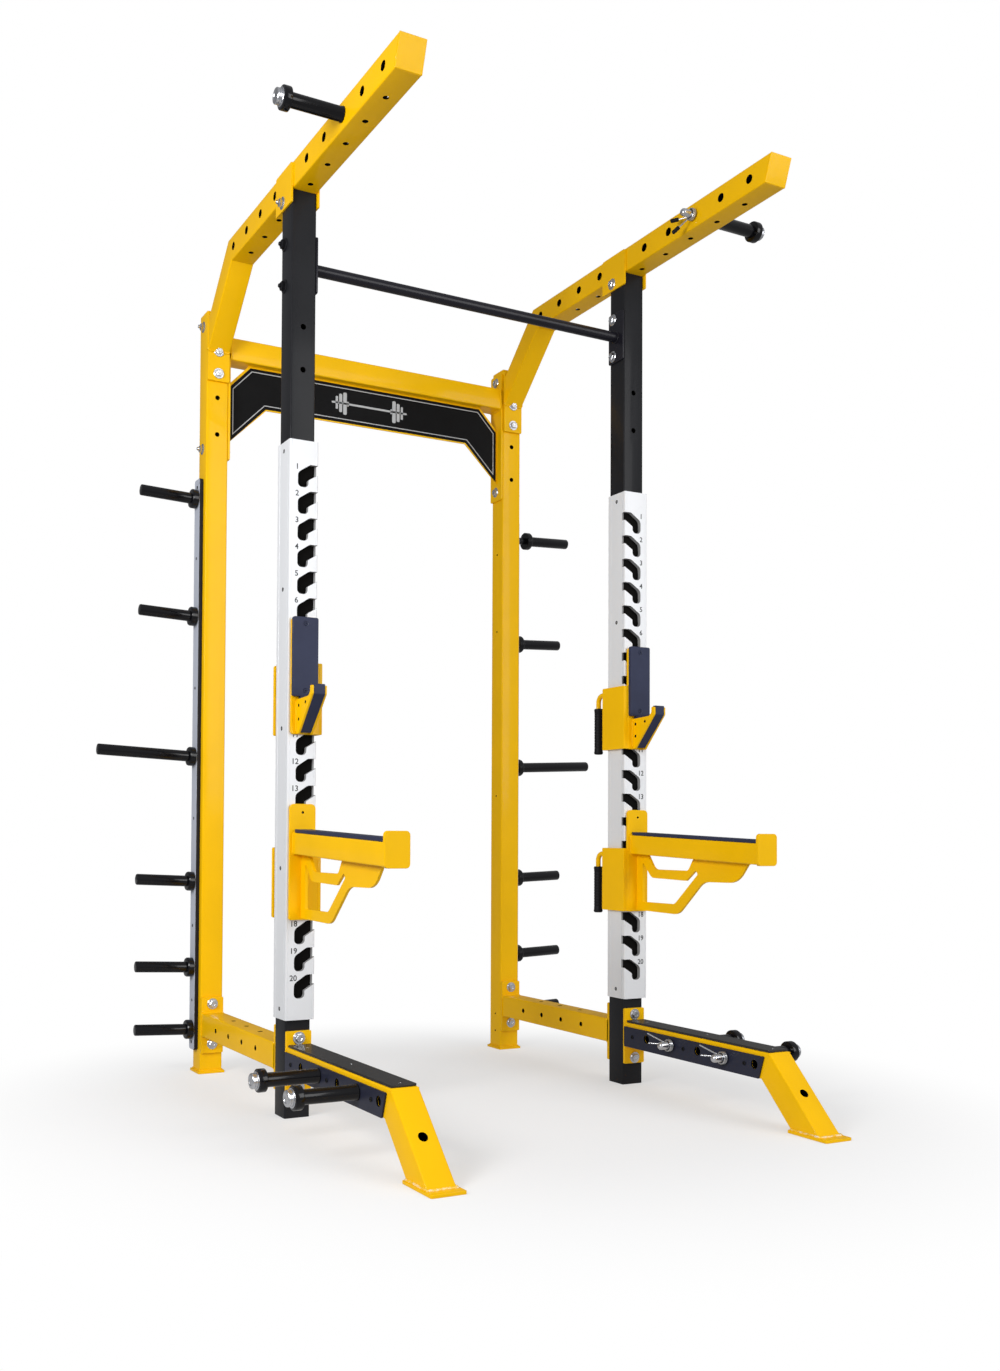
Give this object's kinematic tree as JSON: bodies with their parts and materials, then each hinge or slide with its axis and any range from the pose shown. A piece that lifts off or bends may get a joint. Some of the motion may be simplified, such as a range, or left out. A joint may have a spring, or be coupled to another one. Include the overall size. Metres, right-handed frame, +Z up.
{
  "type": "power cage",
  "caption": "Power rack of square tube with slotted front uprights, lift-out bar hooks and spotter arms, a pull-up bar, overhead arms, band pegs, front legs and plate storage.",
  "frame": {"origin": "on the floor under the centre of the bounding box", "axes": "+Z up, +X towards the unit on the right of someone facing the rack, -Y towards the front legs"},
  "size_m": [1.9308, 1.7161, 2.7181],
  "materials": {
    "yellow_powder_coat": "semi-gloss yellow powder coat on steel",
    "black_powder_coat": "satin black powder coat on steel",
    "anodised_aluminium": "clear anodised extrusion with machined slots",
    "black_wear_plastic": "blue-black UHMW wear plastic",
    "black_rubber": "matt black rubber",
    "zinc_plated_steel": "bright zinc-plated spring steel"
  },
  "bodies": {
    "frame": {"rear_upright_left": "yellow_powder_coat", "front_upright_left": "black_powder_coat", "hook_sleeve_left": "anodised_aluminium", "base_connector_left": "yellow_powder_coat", "front_leg_left": "yellow_powder_coat", "leg_top_strip_left": "black_rubber", "leg_side_plate_outer_left": "black_powder_coat", "leg_side_plate_inner_left": "black_powder_coat", "top_side_member_left": "yellow_powder_coat", "storage_rail_left": "black_powder_coat", "storage_peg_1_left": "black_powder_coat", "storage_peg_2_left": "black_powder_coat", "storage_peg_3_left": "black_powder_coat", "storage_peg_4_left": "black_powder_coat", "storage_peg_5_left": "black_powder_coat", "storage_peg_6_left": "black_powder_coat", "rear_upright_right": "yellow_powder_coat", "front_upright_right": "black_powder_coat", "hook_sleeve_right": "anodised_aluminium", "base_connector_right": "yellow_powder_coat", "front_leg_right": "yellow_powder_coat", "leg_top_strip_right": "black_rubber", "leg_side_plate_outer_right": "black_powder_coat", "leg_side_plate_inner_right": "black_powder_coat", "top_side_member_right": "yellow_powder_coat", "storage_rail_right": "black_powder_coat", "storage_peg_1_right": "black_powder_coat", "storage_peg_2_right": "black_powder_coat", "storage_peg_3_right": "black_powder_coat", "storage_peg_4_right": "black_powder_coat", "storage_peg_5_right": "black_powder_coat", "storage_peg_6_right": "black_powder_coat", "pull_up_bar": "black_powder_coat", "rear_crossmember": "yellow_powder_coat"},
    "j_hook_left": {"j_hook_bracket_left": "yellow_powder_coat", "j_hook_pad_left": "black_wear_plastic", "j_hook_cup_liner_left": "black_wear_plastic", "j_hook_grip_left": "black_rubber"},
    "spotter_left": {"spotter_arm_left": "yellow_powder_coat", "spotter_arm_strip_left": "black_wear_plastic", "spotter_arm_grip_left": "black_rubber"},
    "peg_arm_left": {"band_peg_arm_left": "black_powder_coat"},
    "peg_leg_rear_left": {"band_peg_leg_rear_left": "black_powder_coat"},
    "clip_leg_rear_left": {"peg_clip_leg_rear_left": "zinc_plated_steel"},
    "peg_leg_front_left": {"band_peg_leg_front_left": "black_powder_coat"},
    "clip_leg_front_left": {"peg_clip_leg_front_left": "zinc_plated_steel"},
    "j_hook_right": {"j_hook_bracket_right": "yellow_powder_coat", "j_hook_pad_right": "black_wear_plastic", "j_hook_cup_liner_right": "black_wear_plastic", "j_hook_grip_right": "black_rubber"},
    "spotter_right": {"spotter_arm_right": "yellow_powder_coat", "spotter_arm_strip_right": "black_wear_plastic", "spotter_arm_grip_right": "black_rubber"},
    "peg_arm_right": {"band_peg_arm_right": "black_powder_coat"},
    "clip_arm_right": {"peg_clip_arm_right": "zinc_plated_steel"},
    "peg_leg_rear_right": {"band_peg_leg_rear_right": "black_powder_coat"},
    "clip_leg_rear_right": {"peg_clip_leg_rear_right": "zinc_plated_steel"},
    "peg_leg_front_right": {"band_peg_leg_front_right": "black_powder_coat"},
    "clip_leg_front_right": {"peg_clip_leg_front_right": "zinc_plated_steel"}
  },
  "joints": [
    {"name": "j_hook_lift_left", "type": "slide", "parent": "frame", "child": "j_hook_left", "axis": [0, 0, 1], "range_m": [0, 0.022]},
    {"name": "spotter_lift_left", "type": "slide", "parent": "frame", "child": "spotter_left", "axis": [0, 0, 1], "range_m": [0, 0.022]},
    {"name": "peg_arm_spin_left", "type": "hinge", "parent": "frame", "child": "peg_arm_left", "pos_m": [-0.584, -0.3235, 2.68], "axis": [-1, 0, 0], "continuous": true},
    {"name": "peg_leg_rear_spin_left", "type": "hinge", "parent": "frame", "child": "peg_leg_rear_left", "pos_m": [-0.584, -0.2255, 0.163], "axis": [-1, 0, 0], "continuous": true},
    {"name": "clip_leg_rear_pull_left", "type": "slide", "parent": "peg_leg_rear_left", "child": "clip_leg_rear_left", "axis": [1, 0, 0], "range_m": [0, 0.045]},
    {"name": "peg_leg_front_spin_left", "type": "hinge", "parent": "frame", "child": "peg_leg_front_left", "pos_m": [-0.584, -0.4665, 0.163], "axis": [-1, 0, 0], "continuous": true},
    {"name": "clip_leg_front_pull_left", "type": "slide", "parent": "peg_leg_front_left", "child": "clip_leg_front_left", "axis": [1, 0, 0], "range_m": [0, 0.045]},
    {"name": "j_hook_lift_right", "type": "slide", "parent": "frame", "child": "j_hook_right", "axis": [0, 0, 1], "range_m": [0, 0.022]},
    {"name": "spotter_lift_right", "type": "slide", "parent": "frame", "child": "spotter_right", "axis": [0, 0, 1], "range_m": [0, 0.022]},
    {"name": "peg_arm_spin_right", "type": "hinge", "parent": "frame", "child": "peg_arm_right", "pos_m": [0.584, -0.3235, 2.68], "axis": [1, 0, 0], "continuous": true},
    {"name": "clip_arm_pull_right", "type": "slide", "parent": "peg_arm_right", "child": "clip_arm_right", "axis": [-1, 0, 0], "range_m": [0, 0.045]},
    {"name": "peg_leg_rear_spin_right", "type": "hinge", "parent": "frame", "child": "peg_leg_rear_right", "pos_m": [0.584, -0.2255, 0.163], "axis": [1, 0, 0], "continuous": true},
    {"name": "clip_leg_rear_pull_right", "type": "slide", "parent": "peg_leg_rear_right", "child": "clip_leg_rear_right", "axis": [-1, 0, 0], "range_m": [0, 0.045]},
    {"name": "peg_leg_front_spin_right", "type": "hinge", "parent": "frame", "child": "peg_leg_front_right", "pos_m": [0.584, -0.4665, 0.163], "axis": [1, 0, 0], "continuous": true},
    {"name": "clip_leg_front_pull_right", "type": "slide", "parent": "peg_leg_front_right", "child": "clip_leg_front_right", "axis": [-1, 0, 0], "range_m": [0, 0.045]}
  ]
}
